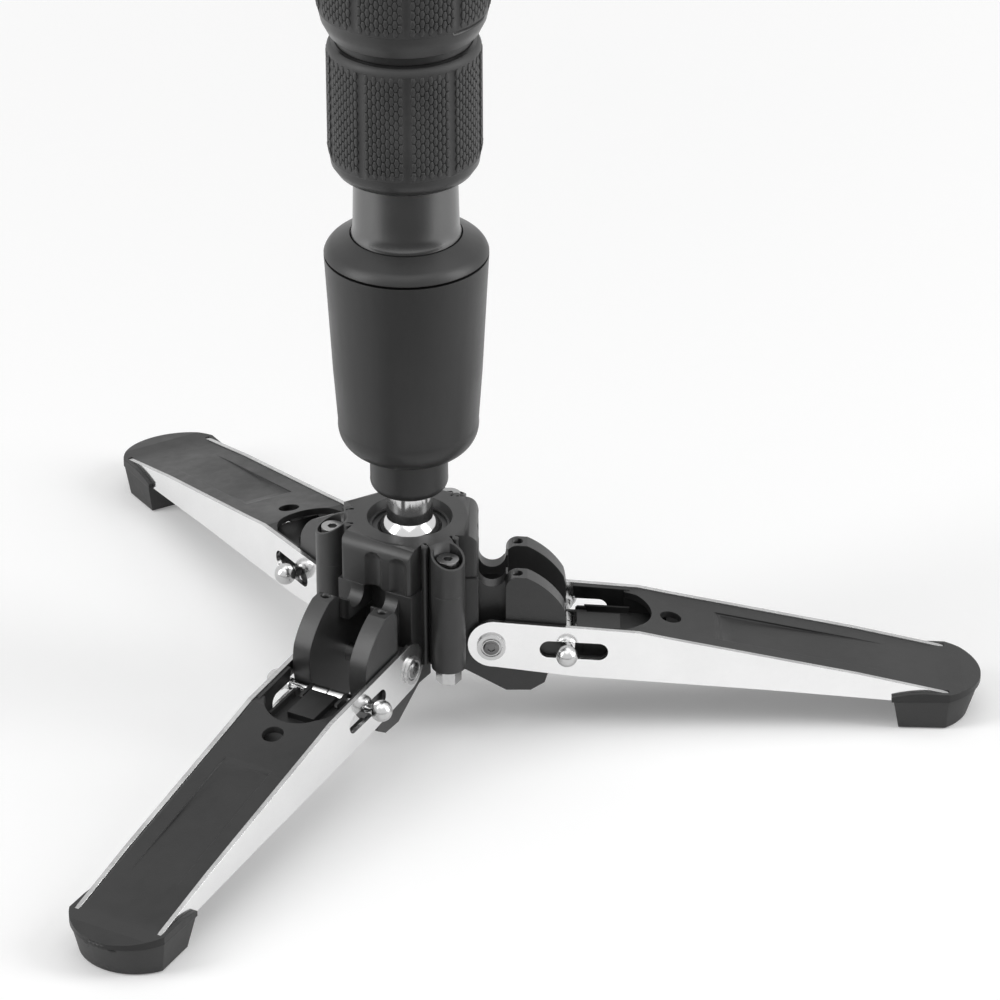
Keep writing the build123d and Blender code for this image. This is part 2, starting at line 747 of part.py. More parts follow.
def pin_carriage():
    """The black slider that carries the pin: two arms, a tray with deep rails and a raised pad."""
    tray = block(carriage_start, tray_end, -carriage_half_width, carriage_half_width, carriage_bottom, carriage_floor)
    rail = block(carriage_start, carriage_end, carriage_half_width - carriage_rail, carriage_half_width,
                 carriage_skirt_bottom, carriage_top)
    pad = block(carriage_pad_start, carriage_pad_end, -carriage_pad_half, carriage_pad_half,
                carriage_bottom, carriage_top)
    arm_inside = pin_sleeve_half + pin_clearance
    arm = block(pin_rest, carriage_start + carriage_rail, arm_inside, arm_outside, -arm_radius, arm_radius)
    arm += Pos(pin_rest, 0, 0) * crosswise([
        (0, arm_inside), (arm_radius, arm_inside), (arm_radius, arm_outside), (0, arm_outside)])
    body = tray + both_sides(rail) + pad + both_sides(arm)
    bore = Pos(pin_rest, 0, 0) * crosswise([
        (0, -arm_outside - overrun), (pin_core_radius + seat_gap, -arm_outside - overrun),
        (pin_core_radius + seat_gap, arm_outside + overrun), (0, arm_outside + overrun)])
    return on_track(body - bore)


def return_spring():
    """The spring that draws the pin to its seats, between the carriage and a rib of the spine."""
    start = tray_end + loose_gap
    tube = Rot(0, 90, 0) * ring(spring_radius, spring_radius - spring_wall, start, start + spring_length - loose_gap)
    return on_track(Pos(0, 0, -spring_drop) * tube)


inner_face = plate_gap / 2
for leg, azimuth in leg_azimuths.items():
    plate = side_plate(inner_face, inner_face + plate_sheet)
    pieces = {
        "side_plate_left": plate,
        "side_plate_right": mirror(plate, about=Plane.XZ),
        "spine": spine(),
        "foot_pad": foot_pad(),
        "return_spring": return_spring(),
        "lock_pin": lock_pin(),
        "pin_carriage": pin_carriage(),
    }
    for name, piece in pieces.items():
        parts[f"{leg}_{name}"] = about_column(piece, azimuth)


# Ball joint
def ball_stud():
    """The chrome ball, flat below, with its neck and the spindle that holds the column."""
    ball = Pos(0, 0, ball_height) * Sphere(ball_radius)
    ball -= disc(ball_radius + overrun, ball_height - ball_radius - overrun, ball_height - ball_flat_drop)
    stem = spun([
        (0, ball_height), (neck_radius, ball_height), (neck_radius, neck_top),
        (spindle_radius, neck_top), (spindle_radius, spindle_top), (0, spindle_top),
    ])
    return ball + stem


def ball_liner():
    """The split ring round the ball, free to turn in the hub's pocket."""
    top = hub_top - lip_drop - lip_thickness - running_gap
    body = disc(liner_radius, split_height + ball_gap, top)
    return body - Pos(0, 0, ball_height) * Sphere(ball_radius + ball_gap)


def neck_collar():
    bore = neck_radius + seat_gap
    height = collar_straight - collar_bottom
    bulge = (collar_radius * collar_bulge_shares[0], collar_bottom + height * collar_bulge_shares[1])
    return spun([
        (bore, collar_bottom), (collar_bottom_radius, collar_bottom), (*bulge, collar_radius, collar_straight),
        (collar_radius, cartridge_bottom), (spindle_radius + seat_gap, cartridge_bottom),
        (spindle_radius + seat_gap, neck_top + seat_gap), (bore, neck_top + seat_gap),
    ])


parts["ball_liner"] = ball_liner()
parts["ball_stud"] = ball_stud()
parts["neck_collar"] = neck_collar()

# Fluid cartridge
def cartridge_housing():
    """The long black cup that holds the damping fluid."""
    height = cartridge_top - cartridge_bottom
    skin = [(r * cartridge_top_radius, cartridge_bottom + h * height) for r, h in cartridge_shares]
    socket = floor_top - foot_journal_length
    path = [
        (spindle_radius + seat_gap, cartridge_bottom + seat_gap), (skin[0][0], cartridge_bottom + seat_gap),
        (*skin[1], *skin[2]), *skin[3:], (cartridge_top_radius, cartridge_top),
        (cap_thread_radius + seat_gap, cartridge_top), (cap_thread_radius + seat_gap, bearing_top),
        (bearing_outer_radius + seat_gap, bearing_top), (bearing_outer_radius + seat_gap, bearing_bottom),
        (fluid_bore_radius, bearing_bottom), (fluid_bore_radius, floor_top),
        (foot_journal_radius + running_gap, floor_top), (foot_journal_radius + running_gap, socket),
        (0, socket), (0, spindle_top + seat_gap), (spindle_radius + seat_gap, spindle_top + seat_gap),
    ]
    return spun(path)


def cartridge_cap():
    """The screwed cap, rising to the adaptor, with the groove of the seal."""
    seam, top = cartridge_top + cap_seam_gap, cartridge_top + cap_height
    groove_top = bearing_top + cap_height - loose_gap
    bulge = (cartridge_top_radius * cap_bulge_shares[0], seam + cap_height * cap_bulge_shares[1])
    return spun([
        (cap_bore_radius, bearing_top + seat_gap), (cap_thread_radius, bearing_top + seat_gap),
        (cap_thread_radius, seam), (cartridge_top_radius, seam), (*bulge, cap_top_radius, top),
        (cap_bore_radius, top + cap_dome), (cap_bore_radius, groove_top),
        (seal_radius + seat_gap, groove_top), (seal_radius + seat_gap, groove_top - seal_thickness - seat_gap),
        (cap_bore_radius, groove_top - seal_thickness - seat_gap),
    ])


def cap_seal():
    groove_top = bearing_top + cap_height - loose_gap
    return ring(seal_radius, adaptor_foot_radius + running_gap, groove_top - seal_thickness, groove_top - seat_gap)


def pan_adaptor():
    """The rotor in the fluid and the grey sleeve above it that takes the lowest tube."""
    drum = fluid_bore_radius - fluid_gap
    foot_bottom = bearing_top + loose_gap
    drum_top = bearing_bottom - adaptor_drum_below_bearing
    curve = (
        adaptor_waist_radius + (adaptor_foot_radius - adaptor_waist_radius) * adaptor_curve_shares[0],
        adaptor_foot_top + (adaptor_waist - adaptor_foot_top) * adaptor_curve_shares[1],
    )
    path = [
        (0, floor_top - foot_journal_length + running_gap),
        (foot_journal_radius, floor_top - foot_journal_length + running_gap),
        (foot_journal_radius, floor_top + loose_gap), (drum, floor_top + loose_gap),
        (drum, drum_top), (bearing_journal_radius, drum_top),
        (bearing_journal_radius, foot_bottom), (adaptor_foot_radius, foot_bottom),
        (adaptor_foot_radius, adaptor_foot_top),
        (*curve, adaptor_waist_radius, adaptor_waist),
        (adaptor_top_radius, adaptor_top), (tube_radii[0] + seat_gap, adaptor_top),
        (tube_radii[0] + seat_gap, tube_foot - seat_gap), (0, tube_foot - seat_gap),
    ]
    return spun(path)


parts["cartridge_housing"] = cartridge_housing()
parts["cartridge_cap"] = cartridge_cap()
parts["cap_seal"] = cap_seal()
parts["pan_bearing"] = ring(
    bearing_outer_radius, bearing_journal_radius + running_gap, bearing_bottom + seat_gap, bearing_top - seat_gap
)
parts["pan_adaptor"] = pan_adaptor()

# Column
names = ["lower", "middle", "upper"]
tube_names = ["lowest_tube", "lower_tube", "middle_tube", "upper_tube"]


def lock_core_bottom(bottom):
    return bottom + collet_inset + collet_height + ball_gap


for index, name in enumerate(tube_names):
    radius = tube_radii[index]
    bottom = tube_foot if index == 0 else lock_core_bottom(lock_bottom + (index - 1) * lock_pitch)
    parts[name] = ring(radius, radius - tube_wall, bottom, tube_tops[index])

for index, name in enumerate(names):
    guided = tube_radii[index + 1] - tube_wall - running_gap
    top = tube_tops[index]
    parts[f"{name}_guide_bush"] = ring(guided, tube_radii[index] + seat_gap, top - bush_height, top)


def cone(index, bottom):
    mouth, body = mouth_radii[index], lock_radii[index]
    high = lock_cone_heights[index]
    return [(mouth + (body - mouth) * step, bottom + high * share) for step, share in lock_foot_shares[index]]


def lock_knob(index, bottom):
    """The turning knob: a cone below, stepped in for the rubber, and a plain drum above."""
    inner_tube = tube_radii[index]
    core = tube_radii[index + 1] + core_wall + running_gap
    mouth = inner_tube + collet_tip_wall
    collet = inner_tube + running_gap + collet_wall + loose_gap
    drum = lock_radii[index] - grip_rubber
    skin = cone(index, bottom)
    under = [(radius - grip_rubber, height) for radius, height in skin[-2:]]
    collet_bottom = bottom + collet_inset
    top = bottom + lock_height
    return spun([
        (mouth, bottom), *skin[:-1], *under, (drum, skin[-1][1] + grip_edge), (drum, top - lock_rim_height),
        (drum - lock_rim_edge, top), (core, top), (core, lock_core_bottom(bottom) - loose_gap),
        (collet, lock_core_bottom(bottom) - loose_gap), (collet, collet_bottom + collet_height / 2),
        (mouth, collet_bottom - loose_gap),
    ])


def lock_grip(index, bottom):
    """The rubber over the drum and the head of the cone, with shallow upright flutes."""
    drum, body = lock_radii[index] - grip_rubber + seat_gap, lock_radii[index]
    lip, corner = cone(index, bottom + seat_gap)[-2:]
    high, shoulder = bottom + lock_height - lock_rim_height, bottom + lock_height - lock_rim_height - grip_shoulder
    bulge = (drum + grip_rubber * grip_bulge_shares[0], shoulder + grip_shoulder * grip_bulge_shares[1])
    inset = grip_rubber - seat_gap
    sleeve = spun([
        (lip[0] - inset, lip[1]), lip, corner, (body, corner[1] + grip_edge), (body, shoulder), (*bulge, drum, high),
        (drum, corner[1] + grip_edge), (corner[0] - inset, corner[1]),
    ])
    flute = Pos(body + flute_radius - flute_depth, 0, 0) * disc(flute_radius, lip[1], shoulder)
    return sleeve - [about_column(flute, flute_azimuth + turn * 360 / flute_count) for turn in range(flute_count)]


def lock_core(index, bottom):
    """The threaded core on the outer tube, with the flange that closes the lock above."""
    tube = tube_radii[index + 1] + seat_gap
    outer = tube_radii[index + 1] + core_wall
    top = bottom + lock_height
    return spun([
        (tube, lock_core_bottom(bottom)), (outer, lock_core_bottom(bottom)), (outer, top + ball_gap),
        (lock_radii[index] - flange_inset, top + ball_gap),
        (lock_radii[index] - flange_inset, top + ball_gap + flange_height), (tube, top + ball_gap + flange_height),
    ])


def lock_collet(index, bottom):
    """The tapered split ring that grips the thinner tube."""
    bore = tube_radii[index] + running_gap
    low = bottom + collet_inset
    high = low + collet_height
    body = spun([
        (bore, low), (bore + collet_tip_wall - loose_gap, low), (bore + collet_wall, low + collet_height / 2),
        (bore + collet_wall, high), (bore, high),
    ])
    return body - block(0, bore + collet_wall + overrun, -loose_gap, loose_gap, low - overrun, high + overrun)


for index, name in enumerate(names):
    base = lock_bottom + index * lock_pitch
    parts[f"{name}_lock_knob"] = lock_knob(index, base)
    parts[f"{name}_lock_grip"] = lock_grip(index, base)
    parts[f"{name}_lock_core"] = lock_core(index, base)
    parts[f"{name}_lock_collet"] = lock_collet(index, base)


# Upper end
def hand_grip():
    inner = tube_radii[-1] + seat_gap
    outer = tube_radii[-1] + grip_wall
    return spun([
        (inner, grip_bottom), (outer - grip_round, grip_bottom), (outer, grip_bottom + grip_round),
        (outer, grip_top - grip_round), (outer - grip_round, grip_top), (inner, grip_top),
    ])


def platform():
    """The top casting: a socket on the upper tube that flares to a round platform."""
    tube, top = tube_radii[-1] + seat_gap, tube_tops[-1]
    outer = tube_radii[-1] + socket_wall
    stud_floor = top + seat_gap + stud_head_height
    return spun([
        (tube, top - socket_depth), (outer, top - socket_depth), (outer, top), (platform_radius, platform_bottom),
        (platform_radius, platform_top - platform_edge), (platform_radius - platform_edge, platform_top),
        (stud_root_radius + seat_gap, platform_top), (stud_root_radius + seat_gap, stud_floor),
        (stud_head_radius + seat_gap, stud_floor), (stud_head_radius + seat_gap, top + seat_gap),
        (tube, top + seat_gap),
    ])


def camera_stud():
    base = tube_tops[-1] + 2 * seat_gap
    root_top = platform_top + pad_thickness
    top = root_top + stud_length
    return spun([
        (0, base), (stud_head_radius, base), (stud_head_radius, base + stud_head_height - seat_gap),
        (stud_root_radius, base + stud_head_height - seat_gap), (stud_root_radius, root_top),
        (stud_radius, root_top), (stud_radius, top - platform_edge),
        (stud_radius - platform_edge, top), (0, top),
    ])


parts["hand_grip"] = hand_grip()
parts["platform"] = platform()
parts["platform_pad"] = ring(
    pad_radius, stud_root_radius + loose_gap, platform_top + seat_gap, platform_top + pad_thickness
)
parts["camera_stud"] = camera_stud()

for name, shape in parts.items():
    shape.label = name
    export_step(shape, f"parts/{name}.step")
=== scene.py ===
import json
import math

import bmesh
import bpy
from mathutils import Matrix, Vector


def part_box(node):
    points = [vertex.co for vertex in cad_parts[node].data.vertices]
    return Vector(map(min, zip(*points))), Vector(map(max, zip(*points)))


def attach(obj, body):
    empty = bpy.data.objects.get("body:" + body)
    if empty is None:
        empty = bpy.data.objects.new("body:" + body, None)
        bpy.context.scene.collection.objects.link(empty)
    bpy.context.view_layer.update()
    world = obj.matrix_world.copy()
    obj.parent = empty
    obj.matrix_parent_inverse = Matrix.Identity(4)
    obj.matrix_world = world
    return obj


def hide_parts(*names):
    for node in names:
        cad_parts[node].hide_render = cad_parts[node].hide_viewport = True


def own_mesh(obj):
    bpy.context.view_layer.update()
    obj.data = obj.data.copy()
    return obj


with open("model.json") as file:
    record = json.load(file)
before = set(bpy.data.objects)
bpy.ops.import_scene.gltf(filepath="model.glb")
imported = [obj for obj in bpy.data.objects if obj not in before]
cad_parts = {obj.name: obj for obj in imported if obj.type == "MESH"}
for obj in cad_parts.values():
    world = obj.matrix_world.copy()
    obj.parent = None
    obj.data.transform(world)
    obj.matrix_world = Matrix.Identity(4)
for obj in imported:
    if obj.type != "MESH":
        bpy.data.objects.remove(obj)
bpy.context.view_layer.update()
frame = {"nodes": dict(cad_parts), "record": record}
nodes = frame["nodes"]
MM = 0.001

behaviour = frame["record"]["behaviour"]
slot_of = {part["node"]: part["material_slot"] for part in frame["record"]["subparts"]}
body_of = {node: body for body, members in behaviour["bodies"].items() for node in members}
joint_of = {joint["name"]: joint for joint in behaviour["joints"]}
leg_azimuths = {"right": 0, "rear": 120, "front": 240}
lock_names = ["lower", "middle", "upper"]


def linked(name, data):
    """A new object in the scene."""
    thing = bpy.data.objects.new(name, data)
    bpy.context.scene.collection.objects.link(thing)
    return thing


# Camera and lamps
def looking(place, aim):
    """The place and turn of a camera or a lamp that looks at an aim."""
    turn = (aim - place).to_track_quat("-Z", "Y")
    return Matrix.Translation(place) @ turn.to_matrix().to_4x4()


def photo_camera():
    """A long lens, 29 degrees above the floor."""
    elevation, azimuth, roll = (math.radians(angle) for angle in (29.09, 0.37, -0.23))
    distance, target = 1.9333, Vector((0.02855, 0, 0.0748))
    offset = Vector((0, -math.cos(elevation), math.sin(elevation))) * distance
    turn = Matrix.Rotation(azimuth, 4, "Z")
    lens = bpy.data.cameras.new("photo_camera")
    lens.sensor_width = 36
    lens.lens = 220.58
    lens.clip_start = 0.05
    lens.clip_end = 50
    camera = linked("photo_camera", lens)
    camera.matrix_world = looking(turn @ (target + offset), turn @ target) @ Matrix.Rotation(roll, 4, "Z")
    bpy.context.scene.camera = camera


def softbox(name, place, aim, size, power):
    """A rectangular lamp, in metres and watts."""
    lamp = bpy.data.lights.new(name, "AREA")
    lamp.shape = "RECTANGLE"
    lamp.size, lamp.size_y = size
    lamp.energy = power
    linked(name, lamp).matrix_world = looking(Vector(place), Vector(aim))


class Graph:
    """Adds nodes to a tree and joins them; an input is a plain value or another node's output."""

    def __init__(self, tree):
        self.tree = tree

    def add(self, kind, *inputs, named=None, **settings):
        node = self.tree.nodes.new(kind)
        for key, value in settings.items():
            setattr(node, key, value)
        for socket, value in zip(node.inputs, inputs):
            self.feed(socket, value)
        for key, value in (named or {}).items():
            self.feed(node.inputs[key], value)
        return node

    def feed(self, socket, value):
        if isinstance(value, bpy.types.NodeSocket):
            self.tree.links.new(value, socket)
        elif value is not None:
            socket.default_value = value

    def math(self, operation, *values):
        return self.add("ShaderNodeMath", *values, operation=operation).outputs[0]

    def plus(self, one, other):
        return self.math("ADD", one, other)

    def minus(self, one, other):
        return self.math("SUBTRACT", one, other)

    def times(self, one, other):
        return self.math("MULTIPLY", one, other)

    def over(self, one, other):
        return self.math("DIVIDE", one, other)

    def vector(self, operation, *values):
        return self.add("ShaderNodeVectorMath", *values, operation=operation).outputs[0]

    def scaled(self, vector, share):
        node = self.add("ShaderNodeVectorMath", vector, operation="SCALE", named={"Scale": share})
        return node.outputs[0]

    def point(self, x, y, z):
        return self.add("ShaderNodeCombineXYZ", x, y, z).outputs[0]

    def ramp(self, value, start, end, first, last, shape="LINEAR"):
        """Goes from first to last while the value goes from start to end."""
        node = self.add("ShaderNodeMapRange", value, start, end, first, last, interpolation_type=shape)
        return node.outputs[0]

    def seen(self):
        """One for a ray that looks at the background, straight or by way of metal or glass."""
        path = self.add("ShaderNodeLightPath").outputs
        straight = self.math("MAXIMUM", path["Is Camera Ray"], path["Is Glossy Ray"])
        return self.math("MAXIMUM", straight, path["Is Transmission Ray"])


def studio_world():
    """A white wall for the eye and for metal, and a weaker white fill as light."""
    white, fill_level, wall_level = (1, 1, 1, 1), 0.26, 1.0
    world = bpy.data.worlds.new("studio")
    world.use_nodes = True
    world.node_tree.nodes.clear()
    graph = Graph(world.node_tree)
    fill = graph.add("ShaderNodeBackground", white, fill_level).outputs[0]
    wall = graph.add("ShaderNodeBackground", white, wall_level).outputs[0]
    graph.add("ShaderNodeOutputWorld", graph.add("ShaderNodeMixShader", graph.seen(), fill, wall).outputs[0])
    bpy.context.scene.world = world


def studio_floor():
    """White paper that glows to white far away, and is darker in metal's reflections near the front."""
    half, drop = 6.0, 0.5 * MM
    shade, dimmest = 0.86, 0.85
    dim_start, dim_end = -0.16, -0.34
    glow_start, glow_end, near_glow, far_glow = 0.22, 2.2, 0.18, 0.8
    corners = [(-half, -half, -drop), (half, -half, -drop), (half, half, -drop), (-half, half, -drop)]
    mesh = bpy.data.meshes.new("studio_floor")
    mesh.from_pydata(corners, [], [(0, 1, 2, 3)])
    paper = bpy.data.materials.new("white_paper")
    paper.use_nodes = True
    paper.node_tree.nodes.clear()
    graph = Graph(paper.node_tree)
    place = graph.add("ShaderNodeNewGeometry").outputs["Position"]
    depth = graph.add("ShaderNodeSeparateXYZ", place).outputs["Y"]
    away = graph.add("ShaderNodeVectorMath", place, operation="LENGTH").outputs["Value"]
    dimming = graph.ramp(depth, dim_start, dim_end, 0.0, dimmest, "SMOOTHSTEP")
    mirrored = graph.add("ShaderNodeLightPath").outputs["Is Glossy Ray"]
    level = graph.minus(1.0, graph.times(dimming, mirrored))
    glow = graph.ramp(away, glow_start, glow_end, near_glow, far_glow, "SMOOTHSTEP")
    matt = graph.add("ShaderNodeBsdfDiffuse", graph.times(level, shade)).outputs[0]
    strength = graph.times(graph.times(graph.seen(), level), glow)
    lift = graph.add("ShaderNodeEmission", (1, 1, 1, 1), strength).outputs[0]
    graph.add("ShaderNodeOutputMaterial", graph.add("ShaderNodeAddShader", matt, lift).outputs[0])
    mesh.materials.append(paper)
    linked("studio_floor", mesh)


photo_camera()
softbox("overhead_softbox", (0.1, -0.1, 1.9), (0, 0, 0.1), (2.4, 1.9), 15)
softbox("left_softbox", (-1.5, -0.5, 0.95), (0, 0, 0.14), (0.7, 1.5), 17)
softbox("right_softbox", (1.6, -0.3, 0.9), (0, 0, 0.12), (0.7, 1.5), 16)
studio_world()
studio_floor()
bpy.context.scene.view_settings.view_transform = "Standard"


# Surface effects that several finishes share
def tree_ends(tree):
    """What writes into a group, what it is given and what it puts out."""
    graph = Graph(tree)
    return graph, graph.add("NodeGroupInput").outputs, graph.add("NodeGroupOutput").inputs


def effect_group(name, inputs, outputs):
    """An empty shader group with its named sockets, and its two ends."""
    group = bpy.data.node_groups.new(name, "ShaderNodeTree")
    for label, kind, value in inputs:
        socket = group.interface.new_socket(label, in_out="INPUT", socket_type=kind)
        socket.default_value = value
    for label, kind in outputs:
        group.interface.new_socket(label, in_out="OUTPUT", socket_type=kind)
    return group, *tree_ends(group)


def moulded_grain():
    """Fine pebbled skin, as spark-eroded moulds leave it."""
    group, graph, given, out = effect_group(
        "moulded_grain",
        [("Grains per Metre", "NodeSocketFloat", 3000), ("Softness", "NodeSocketFloat", 0.5)],
        [("Height", "NodeSocketFloat")],
    )
    grains, pebble_share = given["Grains per Metre"], 0.5
    place = graph.add("ShaderNodeTexCoord").outputs["Object"]
    pebbles = graph.add("ShaderNodeTexVoronoi", place, feature="SMOOTH_F1", named={
        "Scale": grains, "Smoothness": given["Softness"]}).outputs["Distance"]
    cloud = graph.add("ShaderNodeTexNoise", place, named={"Scale": grains, "Detail": 3.0}).outputs["Fac"]
    graph.feed(out["Height"], graph.plus(graph.times(pebbles, pebble_share), cloud))
    return group


def handling():
    """Patches of more and less sheen where hands and dust have been."""
    group, graph, given, out = effect_group(
        "handling",
        [("Patches per Metre", "NodeSocketFloat", 60), ("Smooth", "NodeSocketFloat", 0.35),
         ("Rough", "NodeSocketFloat", 0.5)],
        [("Roughness", "NodeSocketFloat"), ("Mask", "NodeSocketFloat")],
    )
    patches, finer, broad_share, fine_share = given["Patches per Metre"], 11, 0.75, 0.25
    usual_range = 0.35, 0.65
    place = graph.add("ShaderNodeTexCoord").outputs["Object"]
    broad = graph.add("ShaderNodeTexNoise", place, named={"Scale": patches, "Detail": 4.0}).outputs["Fac"]
    fine = graph.add("ShaderNodeTexNoise", place, named={
        "Scale": graph.times(patches, finer), "Detail": 3.0}).outputs["Fac"]
    mask = graph.plus(graph.times(broad, broad_share), graph.times(fine, fine_share))
    graph.feed(out["Roughness"], graph.ramp(mask, *usual_range, given["Smooth"], given["Rough"]))
    graph.feed(out["Mask"], mask)
    return group


def two_tone():
    """A colour that drifts a little between two shades."""
    group, graph, given, out = effect_group(
        "two_tone",
        [("Mask", "NodeSocketFloat", 0.5), ("Deep", "NodeSocketColor", (0, 0, 0, 1)),
         ("Pale", "NodeSocketColor", (1, 1, 1, 1))],
        [("Colour", "NodeSocketColor")],
    )
    usual_range = 0.3, 0.7
    mix = graph.add("ShaderNodeMix", data_type="RGBA")
    share, deep, pale = mix.inputs[0], mix.inputs[6], mix.inputs[7]
    graph.feed(share, graph.ramp(given["Mask"], *usual_range, 0.0, 1.0))
    graph.feed(deep, given["Deep"])
    graph.feed(pale, given["Pale"])
    graph.feed(out["Colour"], mix.outputs[2])
    return group


def drawn_lines():
    """Hair lines along one direction, as rolling and drawing leave in metal."""
    group, graph, given, out = effect_group(
        "drawn_lines",
        [("Stretch", "NodeSocketVector", (20, 4000, 4000))],
        [("Height", "NodeSocketFloat")],
    )
    place = graph.add("ShaderNodeTexCoord").outputs["Object"]
    stretched = graph.vector("MULTIPLY", place, given["Stretch"])
    lines = graph.add("ShaderNodeTexNoise", stretched, named={"Scale": 1.0, "Detail": 2.0})
    graph.feed(out["Height"], lines.outputs["Fac"])
    return group


grain_group, handling_group = moulded_grain(), handling()
tone_group, line_group = two_tone(), drawn_lines()


# Finishes
def finish(name, shades, roughness, metallic=0.0, specular=0.5, edge=0.25, grain=None, lines=None,
           patches=60):
    """A material of two shades, patchy sheen, eased edges, and a grain or drawn lines under the light.

    The edge and the depth of grain or lines are in millimetres; grain and patches are counts per metre.
    """
    material = bpy.data.materials.new(name)
    material.use_nodes = True
    graph = Graph(material.node_tree)
    bsdf = material.node_tree.nodes["Principled BSDF"]
    smooth, rough = roughness
    deep, pale = ((shade, shade, shade, 1) for shade in shades)
    marks = graph.add("ShaderNodeGroup", node_tree=handling_group)
    marks.inputs["Patches per Metre"].default_value = patches
    marks.inputs["Smooth"].default_value = smooth
    marks.inputs["Rough"].default_value = rough
    tone = graph.add("ShaderNodeGroup", node_tree=tone_group)
    graph.feed(tone.inputs["Mask"], marks.outputs["Mask"])
    tone.inputs["Deep"].default_value = deep
    tone.inputs["Pale"].default_value = pale
    graph.feed(bsdf.inputs["Base Color"], tone.outputs["Colour"])
    graph.feed(bsdf.inputs["Roughness"], marks.outputs["Roughness"])
    bsdf.inputs["Metallic"].default_value = metallic
    bsdf.inputs["Specular IOR Level"].default_value = specular
    normal = graph.add("ShaderNodeBevel", edge * MM, samples=4).outputs[0] if edge else None
    relief = grain or lines
    if relief:
        size, depth = relief
        heights = graph.add("ShaderNodeGroup", node_tree=grain_group if grain else line_group)
        heights.inputs[0].default_value = size
        normal = graph.add("ShaderNodeBump", named={
            "Strength": 1.0, "Distance": depth * MM, "Height": heights.outputs["Height"],
            "Normal": normal}).outputs[0]
    graph.feed(bsdf.inputs["Normal"], normal)
    return material


def metal(name, shades, roughness, metallic=1.0, **more):
    """A finish on bare or coated metal."""
    return finish(name, shades, roughness, metallic=metallic, **more)


rolled = ((30, 30, 5000), 0.002)
turned = ((25, 25, 4500), 0.003)
finishes = {
    "hub_plastic": finish("hub_nylon", (0.024, 0.036), (0.34, 0.46), grain=(3500, 0.03), edge=0.4),
    "spine_plastic": finish("spine_nylon", (0.004, 0.02), (0.3, 0.55), grain=(3200, 0.03), specular=0.4,
                            edge=0.4, patches=24),
    "cartridge_plastic": finish("cartridge_satin", (0.013, 0.018), (0.36, 0.44), grain=(5000, 0.012),
                                edge=0.3),
    "lock_plastic": finish("lock_satin", (0.018, 0.026), (0.3, 0.4), grain=(4500, 0.015), edge=0.35),
    "liner_plastic": finish("liner_acetal", (0.035, 0.045), (0.35, 0.45)),
    "bush_plastic": finish("bush_acetal", (0.7, 0.75), (0.35, 0.45)),
    "foot_rubber": finish("foot_rubber", (0.03, 0.045), (0.5, 0.7), grain=(2500, 0.05), specular=0.4,
                          edge=0.4),
    "lock_rubber": finish("lock_rubber", (0.034, 0.05), (0.45, 0.6), grain=(6000, 0.01), specular=0.4,
                          edge=0),
    "grip_foam": finish("grip_foam", (0.012, 0.022), (0.75, 0.95), grain=(1400, 0.16), specular=0.3,
                        edge=0.6),
    "pad_rubber": finish("pad_rubber", (0.018, 0.026), (0.6, 0.8), grain=(1800, 0.08), specular=0.35),
    "seal_rubber": finish("seal_rubber", (0.012, 0.016), (0.4, 0.55)),
    "polished_steel": metal("polished_sheet", (0.82, 0.87), (0.09, 0.17), lines=rolled, edge=0.12),
    "chrome_steel": metal("chrome_plate", (0.62, 0.68), (0.12, 0.18), edge=0.15, patches=20),
    "spring_steel": metal("spring_wire", (0.42, 0.5), (0.24, 0.34), edge=0),
    "bearing_steel": metal("ground_steel", (0.5, 0.58), (0.22, 0.3), lines=turned),
    "adaptor_metal": metal("adaptor_anodised", (0.14, 0.16), (0.22, 0.28), metallic=0.9, lines=turned,
                           edge=0.3, patches=12),
    "tube_metal": metal("tube_anodised", (0.03, 0.036), (0.28, 0.34), metallic=0.6, patches=12),
    "platform_metal": metal("platform_coat", (0.024, 0.032), (0.38, 0.48), metallic=0.2, grain=(3000, 0.03)),
}
sheared_edge = metal("sheared_edge", (0.36, 0.6), (0.2, 0.32), grain=(4000, 0.02))
plain_steel = metal("plain_steel", (0.5, 0.6), (0.2, 0.3), edge=0.15)
screw_steel = metal("screw_steel", (0.26, 0.36), (0.24, 0.36), edge=0.15)
black_oxide = metal("black_oxide_screw", (0.12, 0.2), (0.2, 0.3), edge=0.12)
duller = {"hub_bolts": screw_steel, "hub_nuts": plain_steel, "leg_pivot_pins": plain_steel}


# Pieces
def placed(piece, slot, body, *stands_for):
    """Hangs a finished piece under its body's empty and hides the nodes it stands for; the slot is not used.
    """
    if stands_for:
        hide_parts(*stands_for)
    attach(piece, body)
    return piece


def new_piece(name, mesh, material):
    mesh.name = name
    mesh.materials.clear()
    mesh.materials.append(material)
    return linked(name, mesh)


def rounded(mesh, angle):
    """Smooth shading, with the edges sharp where faces meet at more than the angle."""
    for face in mesh.polygons:
        face.use_smooth = True
    mesh.set_sharp_from_angle(angle=math.radians(angle))


def made_plain(carrier):
    """The plain mesh that a carrier's modifiers make; the carrier goes."""
    graph = bpy.context.evaluated_depsgraph_get()
    mesh = bpy.data.meshes.new_from_object(carrier.evaluated_get(graph))
    carrier.modifiers.clear()
    bpy.data.objects.remove(carrier)
    return mesh


def joined_mesh(node):
    """A copy of a CAD node's mesh, its triangles joined, its flats flat and its rounds smooth."""
    same_point, flat_angle, crease_angle = 0.002 * MM, math.radians(0.3), 30
    mesh = nodes[node].data.copy()
    work = bmesh.new()
    work.from_mesh(mesh)
    bmesh.ops.remove_doubles(work, verts=work.verts, dist=same_point)
    bmesh.ops.dissolve_limit(work, angle_limit=flat_angle, verts=work.verts, edges=work.edges)
    work.to_mesh(mesh)
    work.free()
    rounded(mesh, crease_angle)
    carrier = linked("carrier", mesh)
    flats = carrier.modifiers.new("flat_faces_lead", "WEIGHTED_NORMAL")
    flats.keep_sharp = True
    flats.weight = 100
    return made_plain(carrier)


